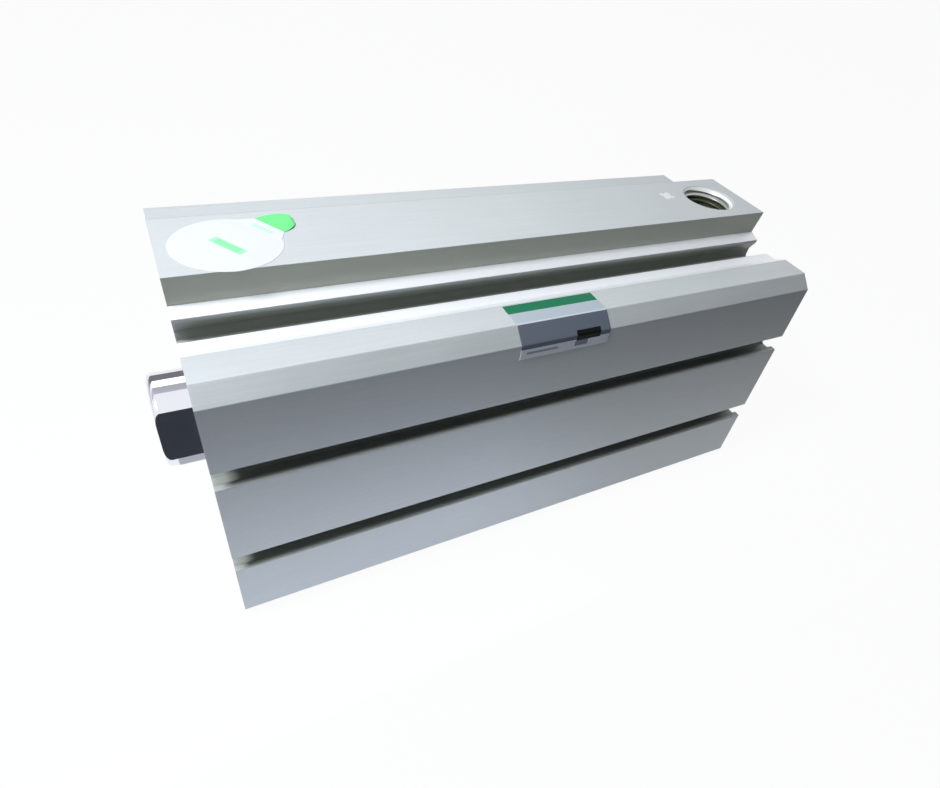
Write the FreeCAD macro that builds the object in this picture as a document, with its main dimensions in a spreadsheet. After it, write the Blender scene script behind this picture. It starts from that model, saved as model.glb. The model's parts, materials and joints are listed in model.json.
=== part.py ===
import FreeCAD, Part
import math
import os

import Sketcher

# Compact pneumatic cylinder: a square extruded barrel with switch grooves, a rod
# cover and a cap cover held by retaining rings, and a magnetic piston on a rod.
# The origin is on the rod's axis in the mounting face of the rod end. The rod
# points along -X, the cap end is at +X and the port boss is on top (+Z).
# All sizes are millimetres.

SHEET = "Dims"

DIMENSIONS = {
    # barrel
    "body_len": 140.5,
    "half_side": 32.0,
    "corner_bevel": 3.0,
    "boss_top": 39.0,
    "boss_half": 10.2,
    "boss_foot": 33.0,
    "boss_foot_half": 9.2,
    "ledge_half": 11.9,
    "ledge_lip": 0.8,
    "edge_break": 0.3,
    # recess beside the boss
    "recess_floor": 30.4,
    "recess_flat": 19.3,
    "recess_end": 22.3,
    # switch grooves
    "slot_place": 12.35,
    "top_slot_place": 14.1,
    "slot_mouth": 2.2,
    "slot_wide": 3.2,
    "top_slot_wide": 3.2,
    "top_slot_inner": 10.6,
    "slot_lip": 1.5,
    "slot_depth": 5.0,
    "top_slot_depth": 4.6,
    "slot_bevel": 1.0,
    "overcut": 1.0,
    # bore and ends
    "bore_rad": 25.0,
    "end_rad": 25.6,
    "rod_seat": 9.5,
    "cap_seat": 132.5,
    "ring_rad": 26.9,
    "ring_place": 2.0,
    "ring_thick": 2.0,
    "ring_slack": 0.1,
    # corner holes and ports
    "hole_pitch": 50.0,
    "through_rad": 3.45,
    "tap_rad": 4.0,
    "tap_depth": 16.0,
    "port_place": 10.5,
    "port_mouth_rad": 6.95,
    "port_rad": 6.58,
    "port_floor": 28.0,
    "passage_rad": 2.0,
    "passage_shift": 1.2,
    # running and seating clearances
    "run_gap": 0.03,
    "seat_gap": 0.05,
    # rod cover
    "flange_rad": 25.55,
    "nose_rad": 21.0,
    "nose_end": 15.4,
    "cover_hole_rad": 10.35,
    "gland_rad": 13.5,
    "gland_start": 4.8,
    "gland_end": 8.2,
    "bush_rad": 11.5,
    "bush_start": 9.0,
    "wiper_edge": 0.45,
    "wiper_heel": 1.1,
    # cover rings
    "o_ring_floor": 23.72,
    "o_ring_half": 0.9,
    "rod_o_ring": 6.7,
    "cap_o_ring": 134.5,
    "o_groove_half": 1.2,
    # cap cover
    "dish_rad": 15.0,
    "dish_depth": 0.8,
    # retaining rings
    "clip_rad": 26.8,
    "clip_inner": 22.9,
    "clip_shift": 0.8,
    "lug_rad": 2.7,
    "lug_across": 4.6,
    "lug_down": 21.9,
    "lug_hole": 1.25,
    "clip_gap": 2.0,
    # rod
    "rod_rad": 10.0,
    "rod_tip": 7.2,
    "rod_round": 1.2,
    "flat_half": 8.5,
    "flat_long": 7.7,
    "flat_turn": 17.2,
    "thread_rad": 5.0,
    "thread_deep": 15.0,
    "thread_bevel": 0.6,
    "drill_rad": 4.25,
    "drill_more": 4.0,
    "spigot_rad": 7.0,
    "stake_rad": 8.4,
    "stake_long": 1.3,
    # piston
    "piston_rad": 24.7,
    "piston_start": 117.7,
    "piston_split": 122.7,
    "magnet_end": 126.1,
    "piston_end": 130.2,
    "hub_rad": 18.0,
    "magnet_rad": 24.2,
    "seal_start": 118.7,
    "seal_end": 121.9,
    "seal_floor": 21.2,
    "seal_rad": 24.95,
    "lip_back": 0.7,
    "lip_place": 0.4,
    "lip_foot": 0.8,
    "lip_dip": 0.3,
    "seal_valley": 1.2,
    "wear_start": 127.0,
    "wear_end": 129.4,
    "wear_floor": 23.2,
    "wear_rad": 24.93,
    "wear_split": 1.0,
    "spigot_ring": 120.3,
    "spigot_ring_half": 0.62,
    "spigot_groove": 8.3,
    "spigot_groove_half": 0.87,
    # bumpers
    "bumper_inner": 12.0,
    "bumper_outer": 19.0,
    "bumper_proud": 2.0,
    "bumper_sunk": 0.8,
    # films
    "film": 0.12,
    "label_start": 57.2,
    "label_long": 21.2,
    "label_back": 22.85,
    "label_low": 25.8,
    "sticker_rad": 9.45,
    "sticker_x": 11.6,
    "sticker_y": 1.3,
    "tab_turn": 33.5,
    "tab_half": 3.7,
    "tab_shoulder": 11.6,
    "tab_tip": 14.8,
    "tab_tip_half": 1.3,
}

# A bevel of 45 degrees lengthens a wrapped film by this share of its thickness, and
# the same share of its half height is half the width of an eight-sided ring's side.
EIGHTH_SHARE = f"{math.tan(math.radians(22.5)):.5f}"
# Places closer than this count as the same.
CLOSE = 1e-4

doc = FreeCAD.newDocument("compact_cylinder")
sheet = doc.addObject("Spreadsheet::Sheet", SHEET)
for row, (alias, size) in enumerate(DIMENSIONS.items(), start=1):
    sheet.set(f"A{row}", str(size))
    sheet.setAlias(f"A{row}", alias)
doc.recompute()

pieces = []


def bound(formula):
    """Point the alias words of a formula at the sheet of dimensions."""
    words = formula.replace("(", " ( ").replace(")", " ) ").split()
    return " ".join(f"{SHEET}.{word}" if word in DIMENSIONS else word for word in words)


def new_body(label):
    """Add an empty body that will become the sub-part with this label."""
    body = doc.addObject("PartDesign::Body", label)
    body.Label = label
    pieces.append(body)
    return body


def new_sketch(body, name, plane, along="0", shift="0"):
    """Add a sketch on an origin plane of the body, moved along its normal and its first axis."""
    sketch = body.newObject("Sketcher::SketchObject", name)
    support = [item for item in body.Origin.OriginFeatures if item.Role == plane][0]
    sketch.AttachmentSupport = [(support, "")]
    sketch.MapMode = "FlatFace"
    sketch.setExpression("AttachmentOffset.Base.z", bound(along))
    sketch.setExpression("AttachmentOffset.Base.x", bound(shift))
    return sketch


def hold_point(sketch, geometry, point, across, up):
    """Hold a sketch point at two distances from the sketch's origin."""
    for kind, formula, axis in (("DistanceX", across, -2), ("DistanceY", up, -1)):
        if formula == "0":
            sketch.addConstraint(Sketcher.Constraint("PointOnObject", geometry, point, axis))
            continue
        index = sketch.addConstraint(Sketcher.Constraint(kind, -1, 1, geometry, point, 1.0))
        sketch.setExpression(f"Constraints[{index}]", bound(formula))


def outline(sketch, corners):
    """Close a chain of lines through corners given as pairs of formulas."""
    first = sketch.GeometryCount
    count = len(corners)
    turns = [2 * math.pi * k / count for k in range(count + 1)]
    rough = [FreeCAD.Vector(math.cos(turn), math.sin(turn), 0) for turn in turns]
    for k in range(count):
        sketch.addGeometry(Part.LineSegment(rough[k], rough[k + 1]))
    for k in range(count):
        following = first + (k + 1) % count
        sketch.addConstraint(Sketcher.Constraint("Coincident", first + k, 2, following, 1))
    for k, (across, up) in enumerate(corners):
        hold_point(sketch, first + k, 1, across, up)


def circle(sketch, across, up, radius):
    """Draw a circle whose centre and radius are formulas."""
    normal = FreeCAD.Vector(0, 0, 1)
    index = sketch.addGeometry(Part.Circle(FreeCAD.Vector(1, 1, 0), normal, 1.0))
    hold_point(sketch, index, 3, across, up)
    size = sketch.addConstraint(Sketcher.Constraint("Radius", index, 1.0))
    sketch.setExpression(f"Constraints[{size}]", bound(radius))


def pad(body, sketch, length):
    """Raise a sketch into a solid by a bound length along its normal."""
    feature = body.newObject("PartDesign::Pad", sketch.Name + "_pad")
    feature.Profile = sketch
    feature.setExpression("Length", bound(length))
    sketch.Visibility = False
    doc.recompute()
    return feature


def pocket(body, sketch, length, forward):
    """Cut a sketch to a bound depth, forward along its normal or back, and check that it cuts."""
    before = body.Shape.Volume
    feature = body.newObject("PartDesign::Pocket", sketch.Name + "_cut")
    feature.Profile = sketch
    feature.Reversed = forward
    feature.setExpression("Length", bound(length))
    doc.recompute()
    if not body.Shape.Volume < before:
        raise RuntimeError(f"{feature.Name} cuts nothing")
    return feature


def turn(body, sketch, kind="PartDesign::Revolution", axis="H_Axis"):
    """Turn a sketch all the way round one of its own axes."""
    before = body.Shape.Volume if kind == "PartDesign::Groove" else 0.0
    feature = body.newObject(kind, sketch.Name + "_turn")
    feature.Profile = sketch
    feature.ReferenceAxis = (sketch, [axis])
    feature.Angle = 360.0
    doc.recompute()
    if kind == "PartDesign::Groove" and not body.Shape.Volume < before:
        raise RuntimeError(f"{feature.Name} cuts nothing")
    return feature


def turned_body(label, corners):
    """Make a sub-part by turning one outline of (place, radius) corners about the rod's axis."""
    body = new_body(label)
    sketch = new_sketch(body, label + "_profile", "XZ_Plane")
    outline(sketch, corners)
    turn(body, sketch)
    return body


def round_rim(body, place, radius, size):
    """Round the circular edge that lies at this place along the rod's axis and has this radius."""
    rims = []
    for number, edge in enumerate(body.Shape.Edges, start=1):
        curve = edge.Curve
        if isinstance(curve, Part.Circle) and abs(curve.Radius - radius) < CLOSE:
            if abs(curve.Center.x - place) < CLOSE:
                rims.append(f"Edge{number}")
    base = body.Tip
    feature = body.newObject("PartDesign::Fillet", body.Name + "_rim")
    feature.Base = (base, rims)
    feature.setExpression("Radius", bound(size))
    doc.recompute()
    return feature


def add_pattern(body, kind, feature, axis):
    """Repeat a feature of the body about one of its origin axes or planes."""
    pattern = body.newObject(kind, feature.Name + "_again")
    pattern.Originals = [feature]
    reference = [item for item in body.Origin.OriginFeatures if item.Role == axis][0]
    if kind == "PartDesign::Mirrored":
        pattern.MirrorPlane = (reference, [""])
    else:
        pattern.Axis = (reference, [""])
        pattern.Angle = 180.0
        pattern.Occurrences = 3
    body.Tip = pattern
    doc.recompute()
    return pattern


def make_barrel():
    """Extruded barrel: boss, switch grooves, stepped bore, corner holes and ports."""
    body = new_body("cylinder_body")

    block = new_sketch(body, "block", "YZ_Plane")
    side = "half_side"
    cut = "( half_side - corner_bevel )"
    eight = [(side, cut), (cut, side), (f"-1 * {cut}", side), (f"-1 * {side}", cut)]
    outline(block, eight + [(f"-1 * {a}", f"-1 * {b}") for a, b in eight])
    pad(body, block, "body_len")

    boss = new_sketch(body, "boss", "YZ_Plane")
    right = [
        ("ledge_half", "recess_floor"), ("ledge_half", side), ("boss_foot_half", "boss_foot"),
        ("boss_half", "boss_top"),
    ]
    outline(boss, right + [(f"-1 * {a}", b) for a, b in reversed(right)])
    pad(body, boss, "body_len")

    recess = new_sketch(body, "recess", "YZ_Plane")
    outer = "( top_slot_place + slot_mouth )"
    inner = "top_slot_inner"
    wide_out = "( top_slot_place + top_slot_wide )"
    lip = "( recess_floor - slot_lip )"
    floor = "( recess_floor - top_slot_depth )"
    above = "( half_side + overcut )"
    outline(recess, [
        ("ledge_half", above), ("ledge_half", f"{side} - ledge_lip"), (inner, lip),
        (inner, f"{floor} + slot_bevel"), (f"{inner} + slot_bevel", floor),
        (f"{wide_out} - slot_bevel", floor), (wide_out, f"{floor} + slot_bevel"), (wide_out, lip),
        (outer, lip), (outer, "recess_floor"),
        ("recess_flat", "recess_floor"), ("recess_end", side), ("recess_end", above),
    ])
    add_pattern(body, "PartDesign::Mirrored", pocket(body, recess, "body_len", True), "XZ_Plane")

    slots = new_sketch(body, "slots", "YZ_Plane")
    for sign in ("1", "-1"):
        deep = f"-1 * ( {side} - slot_depth )"
        shelf = f"-1 * ( {side} - slot_lip )"
        half = [
            (f"-1 * {above}", "slot_mouth"), (shelf, "slot_mouth"), (shelf, "slot_wide"),
            (f"{deep} - slot_bevel", "slot_wide"), (deep, "slot_wide - slot_bevel"),
        ]
        low = [(a, f"{sign} * slot_place - ( {b} )") for a, b in half]
        high = [(a, f"{sign} * slot_place + ( {b} )") for a, b in reversed(half)]
        outline(slots, low + high)
    add_pattern(body, "PartDesign::PolarPattern", pocket(body, slots, "body_len", True), "X_Axis")

    bore = new_sketch(body, "bore", "XZ_Plane")
    far = "body_len"
    outline(bore, [
        ("0", "0"), ("0", "end_rad"), ("ring_place - ring_slack", "end_rad"),
        ("ring_place - ring_slack", "ring_rad"), ("ring_place + ring_thick", "ring_rad"),
        ("ring_place + ring_thick", "end_rad"), ("rod_seat", "end_rad"), ("rod_seat", "bore_rad"),
        ("cap_seat", "bore_rad"), ("cap_seat", "end_rad"),
        (f"{far} - ring_place - ring_thick", "end_rad"), (f"{far} - ring_place - ring_thick", "ring_rad"),
        (f"{far} - ring_place + ring_slack", "ring_rad"), (f"{far} - ring_place + ring_slack", "end_rad"),
        (far, "end_rad"), (far, "0"),
    ])
    turn(body, bore, "PartDesign::Groove")

    reach = ("hole_pitch / 2", "-1 * hole_pitch / 2")
    corners = [(across, up) for across in reach for up in reach]
    for name, place, radius, depth, forward in (
        ("through_holes", "0", "through_rad", "body_len", True),
        ("rod_end_taps", "0", "tap_rad", "tap_depth", True),
        ("cap_end_taps", "body_len", "tap_rad", "tap_depth", False),
    ):
        holes = new_sketch(body, name, "YZ_Plane", place)
        for across, up in corners:
            circle(holes, across, up, radius)
        pocket(body, holes, depth, forward)

    for name, place in (("rod_port", "port_place"), ("cap_port", "body_len - port_place")):
        port = new_sketch(body, name, "XZ_Plane", "0", place)
        outline(port, [
            ("0", "boss_top"), ("port_mouth_rad", "boss_top"),
            ("port_rad", "boss_top - ( port_mouth_rad - port_rad )"), ("port_rad", "port_floor"),
            ("0", "port_floor"),
        ])
        turn(body, port, "PartDesign::Groove", "V_Axis")
        passage = new_sketch(body, name + "_passage", "XY_Plane", "boss_top")
        circle(passage, f"{place} + passage_shift", "0", "passage_rad")
        pocket(body, passage, "boss_top - bore_rad / 2", False)


def make_rod_cover():
    """Rod cover: a flange against the barrel's shoulder, a nose, a seal gland and a bush seat."""
    start = "ring_place + ring_thick"
    turned_body("rod_cover", [
        (start, "cover_hole_rad + edge_break"), (start, "flange_rad - edge_break"),
        (f"{start} + edge_break", "flange_rad"), ("rod_o_ring - o_groove_half", "flange_rad"),
        ("rod_o_ring - o_groove_half", "o_ring_floor"), ("rod_o_ring + o_groove_half", "o_ring_floor"),
        ("rod_o_ring + o_groove_half", "flange_rad"), ("rod_seat", "flange_rad"), ("rod_seat", "nose_rad"),
        ("nose_end - edge_break", "nose_rad"), ("nose_end", "nose_rad - edge_break"),
        ("nose_end", "bush_rad"), ("bush_start", "bush_rad"), ("bush_start", "cover_hole_rad"),
        ("gland_end", "cover_hole_rad"),
        ("gland_end", "gland_rad"), ("gland_start", "gland_rad"), ("gland_start", "cover_hole_rad"),
        (f"{start} + edge_break", "cover_hole_rad"),
    ])
    low = "rod_rad + run_gap"
    turned_body("rod_bush", [
        ("bush_start", low), ("nose_end - seat_gap", low), ("nose_end - seat_gap", "bush_rad"),
        ("bush_start", "bush_rad"),
    ])
    first = "( gland_start + seat_gap )"
    last = "( gland_end - seat_gap )"
    outside = "gland_rad - seat_gap"
    waist = f"{low} + wiper_edge * 2"
    turned_body("rod_seal", [
        (first, outside), (last, outside), (last, f"{low} + wiper_heel"), (f"{last} - wiper_edge", low),
        (f"{last} - wiper_heel", waist), (f"{first} + wiper_heel", waist), (f"{first} + wiper_edge", low),
        (first, f"{low} + wiper_edge"),
    ])


def make_cap_cover():
    """Cap cover: a disc against the barrel's shoulder, dished outside."""
    end = "( body_len - ring_place - ring_thick )"
    turned_body("cap_cover", [
        ("cap_seat", "0"), ("cap_seat", "flange_rad"), ("cap_o_ring - o_groove_half", "flange_rad"),
        ("cap_o_ring - o_groove_half", "o_ring_floor"), ("cap_o_ring + o_groove_half", "o_ring_floor"),
        ("cap_o_ring + o_groove_half", "flange_rad"), (f"{end} - edge_break", "flange_rad"),
        (end, "flange_rad - edge_break"), (end, "dish_rad"), (f"{end} - dish_depth", "dish_rad - dish_depth"),
        (f"{end} - dish_depth", "0"),
    ])


def make_o_ring(label, place, floor, half):
    """Ring on the floor of its groove, its round section drawn with eight sides."""
    short = f"{EIGHTH_SHARE} * {half}"
    upper = [(short, half), (half, short)]
    right = upper + [(a, f"-1 * {b}") for a, b in reversed(upper)]
    left = [(f"-1 * {a}", b) for a, b in reversed(right)]
    corners = [(f"{place} + ( {a} )", f"{floor} + {half} + ( {b} )") for a, b in right + left]
    turned_body(label, corners)


def make_retaining_ring(label, place):
    """Internal retaining ring: an eccentric band, open below between two drilled lugs."""
    body = new_body(label)
    band = new_sketch(body, label + "_band", "YZ_Plane", place)
    circle(band, "0", "0", "clip_rad")
    circle(band, "0", "-1 * clip_shift", "clip_inner")
    pad(body, band, "ring_thick")
    lugs = new_sketch(body, label + "_lugs", "YZ_Plane", place)
    for sign in ("-1 *", "1 *"):
        circle(lugs, f"{sign} lug_across", "-1 * lug_down", "lug_rad")
    pad(body, lugs, "ring_thick")
    gap = new_sketch(body, label + "_gap", "YZ_Plane", place)
    low = "-1 * ( clip_rad + overcut )"
    high = "-1 * ( lug_down - lug_rad - overcut )"
    outline(gap, [("-1 * clip_gap", low), ("clip_gap", low), ("clip_gap", high), ("-1 * clip_gap", high)])
    pocket(body, gap, "ring_thick", True)
    holes = new_sketch(body, label + "_holes", "YZ_Plane", place)
    for sign in ("-1 *", "1 *"):
        circle(holes, f"{sign} lug_across", "-1 * lug_down", "lug_hole")
    pocket(body, holes, "ring_thick", True)


def make_rod():
    """Piston rod: tapped tip with two spanner flats, and a staked spigot through the piston."""
    tip = "-1 * rod_tip"
    deep = "( thread_deep - rod_tip )"
    body = turned_body("piston_rod", [
        (tip, "thread_rad + thread_bevel"), (tip, "rod_rad"), ("piston_start", "rod_rad"),
        ("piston_start", "spigot_rad"), ("piston_end - stake_long", "spigot_rad"),
        ("piston_end", "stake_rad"), ("piston_end", "0"), (f"{deep} + drill_more + drill_rad / 2", "0"),
        (f"{deep} + drill_more", "drill_rad"), (deep, "drill_rad"), (deep, "thread_rad"),
        (f"{tip} + thread_bevel", "thread_rad"),
    ])
    round_rim(body, -DIMENSIONS["rod_tip"], DIMENSIONS["rod_rad"], "rod_round")
    flats = new_sketch(body, "flats", "YZ_Plane", tip)
    high = "( rod_rad + overcut )"
    low = f"-1 * {high}"
    for sign in ("-1 *", "1 *"):
        near = f"{sign} flat_half"
        wide = f"{sign} {high}"
        outline(flats, [(near, low), (wide, low), (wide, high), (near, high)])
    pocket(body, flats, "flat_long", True)
    body.Placement = FreeCAD.Placement(FreeCAD.Vector(), FreeCAD.Rotation(FreeCAD.Vector(-1, 0, 0), 1))
    body.setExpression("Placement.Rotation.Angle", bound("flat_turn"))


def make_piston():
    """Piston of two halves with a magnet ring between them, a lip seal, a wear ring and bumpers."""
    sunk_rod = "piston_start + bumper_sunk"
    sunk_cap = "piston_end - bumper_sunk"
    edge = "edge_break"
    turned_body("piston_rod_side", [
        ("piston_start", "spigot_rad"), ("piston_start", "bumper_inner"), (sunk_rod, "bumper_inner"),
        (sunk_rod, "bumper_outer"), ("piston_start", "bumper_outer"),
        ("piston_start", f"piston_rad - {edge}"), (f"piston_start + {edge}", "piston_rad"),
        ("seal_start", "piston_rad"), ("seal_start", "seal_floor"), ("seal_end", "seal_floor"),
        ("seal_end", "piston_rad"), ("piston_split", "piston_rad"),
        ("piston_split", "spigot_rad"), ("spigot_ring + spigot_groove_half", "spigot_rad"),
        ("spigot_ring + spigot_groove_half", "spigot_groove"),
        ("spigot_ring - spigot_groove_half", "spigot_groove"),
        ("spigot_ring - spigot_groove_half", "spigot_rad"),
    ])
    turned_body("piston_cap_side", [
        ("piston_split", "spigot_rad"), ("piston_split", "hub_rad"), ("magnet_end", "hub_rad"),
        ("magnet_end", "piston_rad"), ("wear_start", "piston_rad"), ("wear_start", "wear_floor"),
        ("wear_end", "wear_floor"), ("wear_end", "piston_rad"), (f"piston_end - {edge}", "piston_rad"),
        ("piston_end", f"piston_rad - {edge}"), ("piston_end", "bumper_outer"), (sunk_cap, "bumper_outer"),
        (sunk_cap, "bumper_inner"), ("piston_end", "bumper_inner"), ("piston_end", "stake_rad"),
        ("piston_end - stake_long", "spigot_rad"),
    ])
    inside = "hub_rad + seat_gap"
    turned_body("magnet_ring", [
        ("piston_split", inside), ("magnet_end", inside), ("magnet_end", "magnet_rad"),
        ("piston_split", "magnet_rad"),
    ])
    first = "( seal_start + seat_gap )"
    last = "( seal_end - seat_gap )"
    middle = "( seal_start + seal_end ) / 2"
    low = "seal_floor + seat_gap"
    turned_body("piston_seal", [
        (first, low), (last, low), (last, "seal_rad - lip_back"), (f"{last} - lip_place", "seal_rad"),
        (f"{last} - lip_foot", "seal_rad - lip_dip"), (middle, "seal_rad - seal_valley"),
        (f"{first} + lip_foot", "seal_rad - lip_dip"), (f"{first} + lip_place", "seal_rad"),
        (first, "seal_rad - lip_back"),
    ])
    first = "( wear_start + seat_gap )"
    last = "( wear_end - seat_gap )"
    low = "wear_floor + seat_gap"
    ring = turned_body("wear_ring", [(first, low), (last, low), (last, "wear_rad"), (first, "wear_rad")])
    split = new_sketch(ring, "wear_split", "XY_Plane")
    start = "( wear_start - overcut )"
    end = "( wear_end + overcut )"
    slant = "( wear_end - wear_start )"
    outline(split, [(start, "0"), (start, "wear_split"), (end, f"wear_split + {slant}"), (end, slant)])
    pocket(ring, split, "wear_rad + overcut", True)
    for label, face, back in (
        ("bumper_rod_side", "piston_start - bumper_proud", sunk_rod),
        ("bumper_cap_side", "piston_end + bumper_proud", sunk_cap),
    ):
        inner = "bumper_inner + seat_gap"
        outer = "bumper_outer - seat_gap"
        half_way = f"( {back} + {face} ) / 2"
        turned_body(label, [
            (back, inner), (back, outer), (half_way, outer), (face, f"{outer} - {edge}"),
            (face, f"{inner} + {edge}"), (half_way, inner),
        ])


def make_films():
    """Round sticker with a pull tab over the rod-side port, and the label wrapped over a bevel."""
    sticker = new_body("port_sticker")
    disc = new_sketch(sticker, "sticker_disc", "XY_Plane", "boss_top")
    circle(disc, "sticker_x", "-1 * sticker_y", "sticker_rad")
    pad(sticker, disc, "film")
    tab = new_sketch(sticker, "sticker_tab", "XY_Plane", "boss_top", "sticker_x")
    tab.setExpression("AttachmentOffset.Base.y", bound("-1 * sticker_y"))
    tab.setExpression("AttachmentOffset.Rotation.Angle", bound("tab_turn"))
    along = [("0", "tab_half"), ("tab_shoulder", "tab_half"), ("tab_tip", "tab_tip_half")]
    outline(tab, along + [(a, f"-1 * {b}") for a, b in reversed(along)])
    pad(sticker, tab, "film")

    label = new_body("name_label")
    wrap = new_sketch(label, "label_wrap", "YZ_Plane", "label_start")
    side = "half_side"
    cut = "( half_side - corner_bevel )"
    skin = "( half_side + film )"
    skin_cut = f"( half_side - corner_bevel + {EIGHTH_SHARE} * film )"
    outline(wrap, [
        ("-1 * label_back", side), (f"-1 * {cut}", side), (f"-1 * {side}", cut),
        (f"-1 * {side}", "label_low"), (f"-1 * {skin}", "label_low"), (f"-1 * {skin}", skin_cut),
        (f"-1 * {skin_cut}", skin), ("-1 * label_back", skin),
    ])
    pad(label, wrap, "label_long")


make_barrel()
make_rod_cover()
make_cap_cover()
make_o_ring("rod_cover_o_ring", "rod_o_ring", "o_ring_floor", "o_ring_half")
make_o_ring("cap_cover_o_ring", "cap_o_ring", "o_ring_floor", "o_ring_half")
make_o_ring("piston_o_ring", "spigot_ring", "spigot_rad + run_gap", "spigot_ring_half")
make_retaining_ring("rod_retaining_ring", "ring_place")
make_retaining_ring("cap_retaining_ring", "body_len - ring_place - ring_thick")
make_rod()
make_piston()
make_films()
doc.recompute()

failed = [item.Label for item in doc.Objects if {"Invalid", "Error"} & set(item.State)]
if failed:
    raise RuntimeError(f"failed objects: {failed}")
for piece in pieces:
    if piece.Shape.isNull() or not piece.Shape.isValid() or not piece.Shape.Solids:
        raise RuntimeError(f"{piece.Label} has no valid solid")

os.makedirs("parts", exist_ok=True)
for piece in pieces:
    piece.Shape.exportStep(f"parts/{piece.Label}.step")
    box = piece.Shape.BoundBox
    spans = f"x {box.XMin:.2f} {box.XMax:.2f} y {box.YMin:.2f} {box.YMax:.2f} z {box.ZMin:.2f} {box.ZMax:.2f}"
    print(f"{piece.Label}: {len(piece.Shape.Solids)} solid, {piece.Shape.Volume:.0f} mm3, {spans}")
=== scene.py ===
"""Looks of a compact pneumatic cylinder: finishes, screw threads, films and a plain studio.

The frame gives every rigid piece its shape and place. This script dresses those pieces and
adds what is too fine for them: threads, the peel-off sticker, the wrapped label and a dab of
paint. Lengths are metres in the frame's axes. A name that ends in _mm holds millimetres.
"""

import dataclasses
import functools
import json
import logging
import math
from dataclasses import dataclass
from enum import Enum

import bpy
import numpy as np
from mathutils import Matrix, Vector


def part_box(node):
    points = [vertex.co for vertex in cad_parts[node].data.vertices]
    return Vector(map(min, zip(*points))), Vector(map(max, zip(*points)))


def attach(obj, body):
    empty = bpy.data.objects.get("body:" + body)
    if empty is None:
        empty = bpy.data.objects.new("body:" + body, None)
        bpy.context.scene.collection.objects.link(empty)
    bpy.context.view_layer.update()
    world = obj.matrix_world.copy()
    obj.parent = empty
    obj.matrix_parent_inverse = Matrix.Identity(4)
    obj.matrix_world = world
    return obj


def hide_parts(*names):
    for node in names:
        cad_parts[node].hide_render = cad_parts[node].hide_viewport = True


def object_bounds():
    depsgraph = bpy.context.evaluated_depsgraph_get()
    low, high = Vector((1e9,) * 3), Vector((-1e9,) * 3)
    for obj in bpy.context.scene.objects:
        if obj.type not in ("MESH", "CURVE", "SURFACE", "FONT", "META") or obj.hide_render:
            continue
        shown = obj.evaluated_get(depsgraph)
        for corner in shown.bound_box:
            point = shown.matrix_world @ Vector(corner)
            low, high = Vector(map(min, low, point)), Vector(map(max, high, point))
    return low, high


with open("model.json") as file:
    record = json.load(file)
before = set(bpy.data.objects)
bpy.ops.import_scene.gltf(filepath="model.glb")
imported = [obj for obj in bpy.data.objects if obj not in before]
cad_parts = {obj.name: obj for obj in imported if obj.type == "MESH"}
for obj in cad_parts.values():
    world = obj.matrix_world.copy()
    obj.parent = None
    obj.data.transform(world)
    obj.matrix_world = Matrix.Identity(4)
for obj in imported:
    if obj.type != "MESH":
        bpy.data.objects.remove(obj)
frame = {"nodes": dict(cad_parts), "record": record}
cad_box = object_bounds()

MM = 0.001
# Softened edge of films and paint, which are thinner than the usual one.
THIN_EDGE_MM = 0.01
# Drawn streaks are this many times as long as they are wide.
STREAK_LENGTH = 40.0
# Middle parts of the tone's range over which the colour and the roughness change.
COLOUR_SPAN = (0.35, 0.65)
ROUGH_SPAN = (0.3, 0.7)
# Octaves of the noise in the marks, in the broad changes of tone and in etched grain.
MARK_OCTAVES = 3.0
CLOUD_OCTAVES = 4.0
GRAIN_OCTAVES = 2.0
# Looks taken around a point to measure how closed its view is.
LOOKS = 6
# A face looks up, or along the barrel, when that part of its direction is above these.
UP_FACING = 0.5
END_FACING = 0.9
BARREL = "barrel"
ROD = "piston_rod"
LOG = logging.getLogger("compact_cylinder")

Socket = bpy.types.NodeSocket
Tree = bpy.types.NodeTree
Inputs = dict[str | int, object]


class Reading(Enum):
    """What a finish reads at a point of its piece, by the name of the output that gives it."""

    PLACE = "Object"
    FACING = "Normal"


class Limit(Enum):
    """How a measure is held against its limits, by the operation that does it."""

    BELOW = "LESS_THAN"
    ABOVE = "GREATER_THAN"
    # Within the second limit of the first.
    AROUND = "COMPARE"


# The way of comparing, what is measured, and its one or two limits.
Test = tuple[Limit, Socket, float] | tuple[Limit, Socket, float, float]


def linear(colour: str) -> tuple[float, float, float, float]:
    """Turn an sRGB hex colour such as #A0B1C2 into linear red, green, blue and alpha.

    Args:
        colour: six hex digits after a hash.

    Returns:
        The linear colour with an alpha of one.
    """
    channels = np.array([int(colour[k:k + 2], 16) for k in (1, 3, 5)]) / 255.0
    light = np.where(channels <= 0.04045, channels / 12.92, ((channels + 0.055) / 1.055) ** 2.4)
    return (*light.tolist(), 1.0)


def add_node(tree: Tree, kind: str, inputs: Inputs | None = None, **settings: object) -> bpy.types.Node:
    """Add one node with its settings, socket values and links.

    Args:
        tree: node tree that gets the node.
        kind: type name of the node.
        inputs: a value, or another node's output to link, for each named or numbered input.
        settings: attributes of the node itself.

    Returns:
        The new node.
    """
    node = tree.nodes.new(kind)
    for name, setting in settings.items():
        setattr(node, name, setting)
    for key, value in (inputs or {}).items():
        if isinstance(value, Socket):
            tree.links.new(value, node.inputs[key])
        else:
            node.inputs[key].default_value = value
    return node


def axes_of(tree: Tree, reading: Reading) -> list[Socket]:
    """Split a place on a piece, or the direction that it faces, into x, y and z.

    Args:
        tree: node tree that gets the nodes.
        reading: which of the two is split.

    Returns:
        The three parts.
    """
    whole = add_node(tree, "ShaderNodeTexCoord").outputs[reading.value]
    return list(add_node(tree, "ShaderNodeSeparateXYZ", {0: whole}).outputs)


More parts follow.
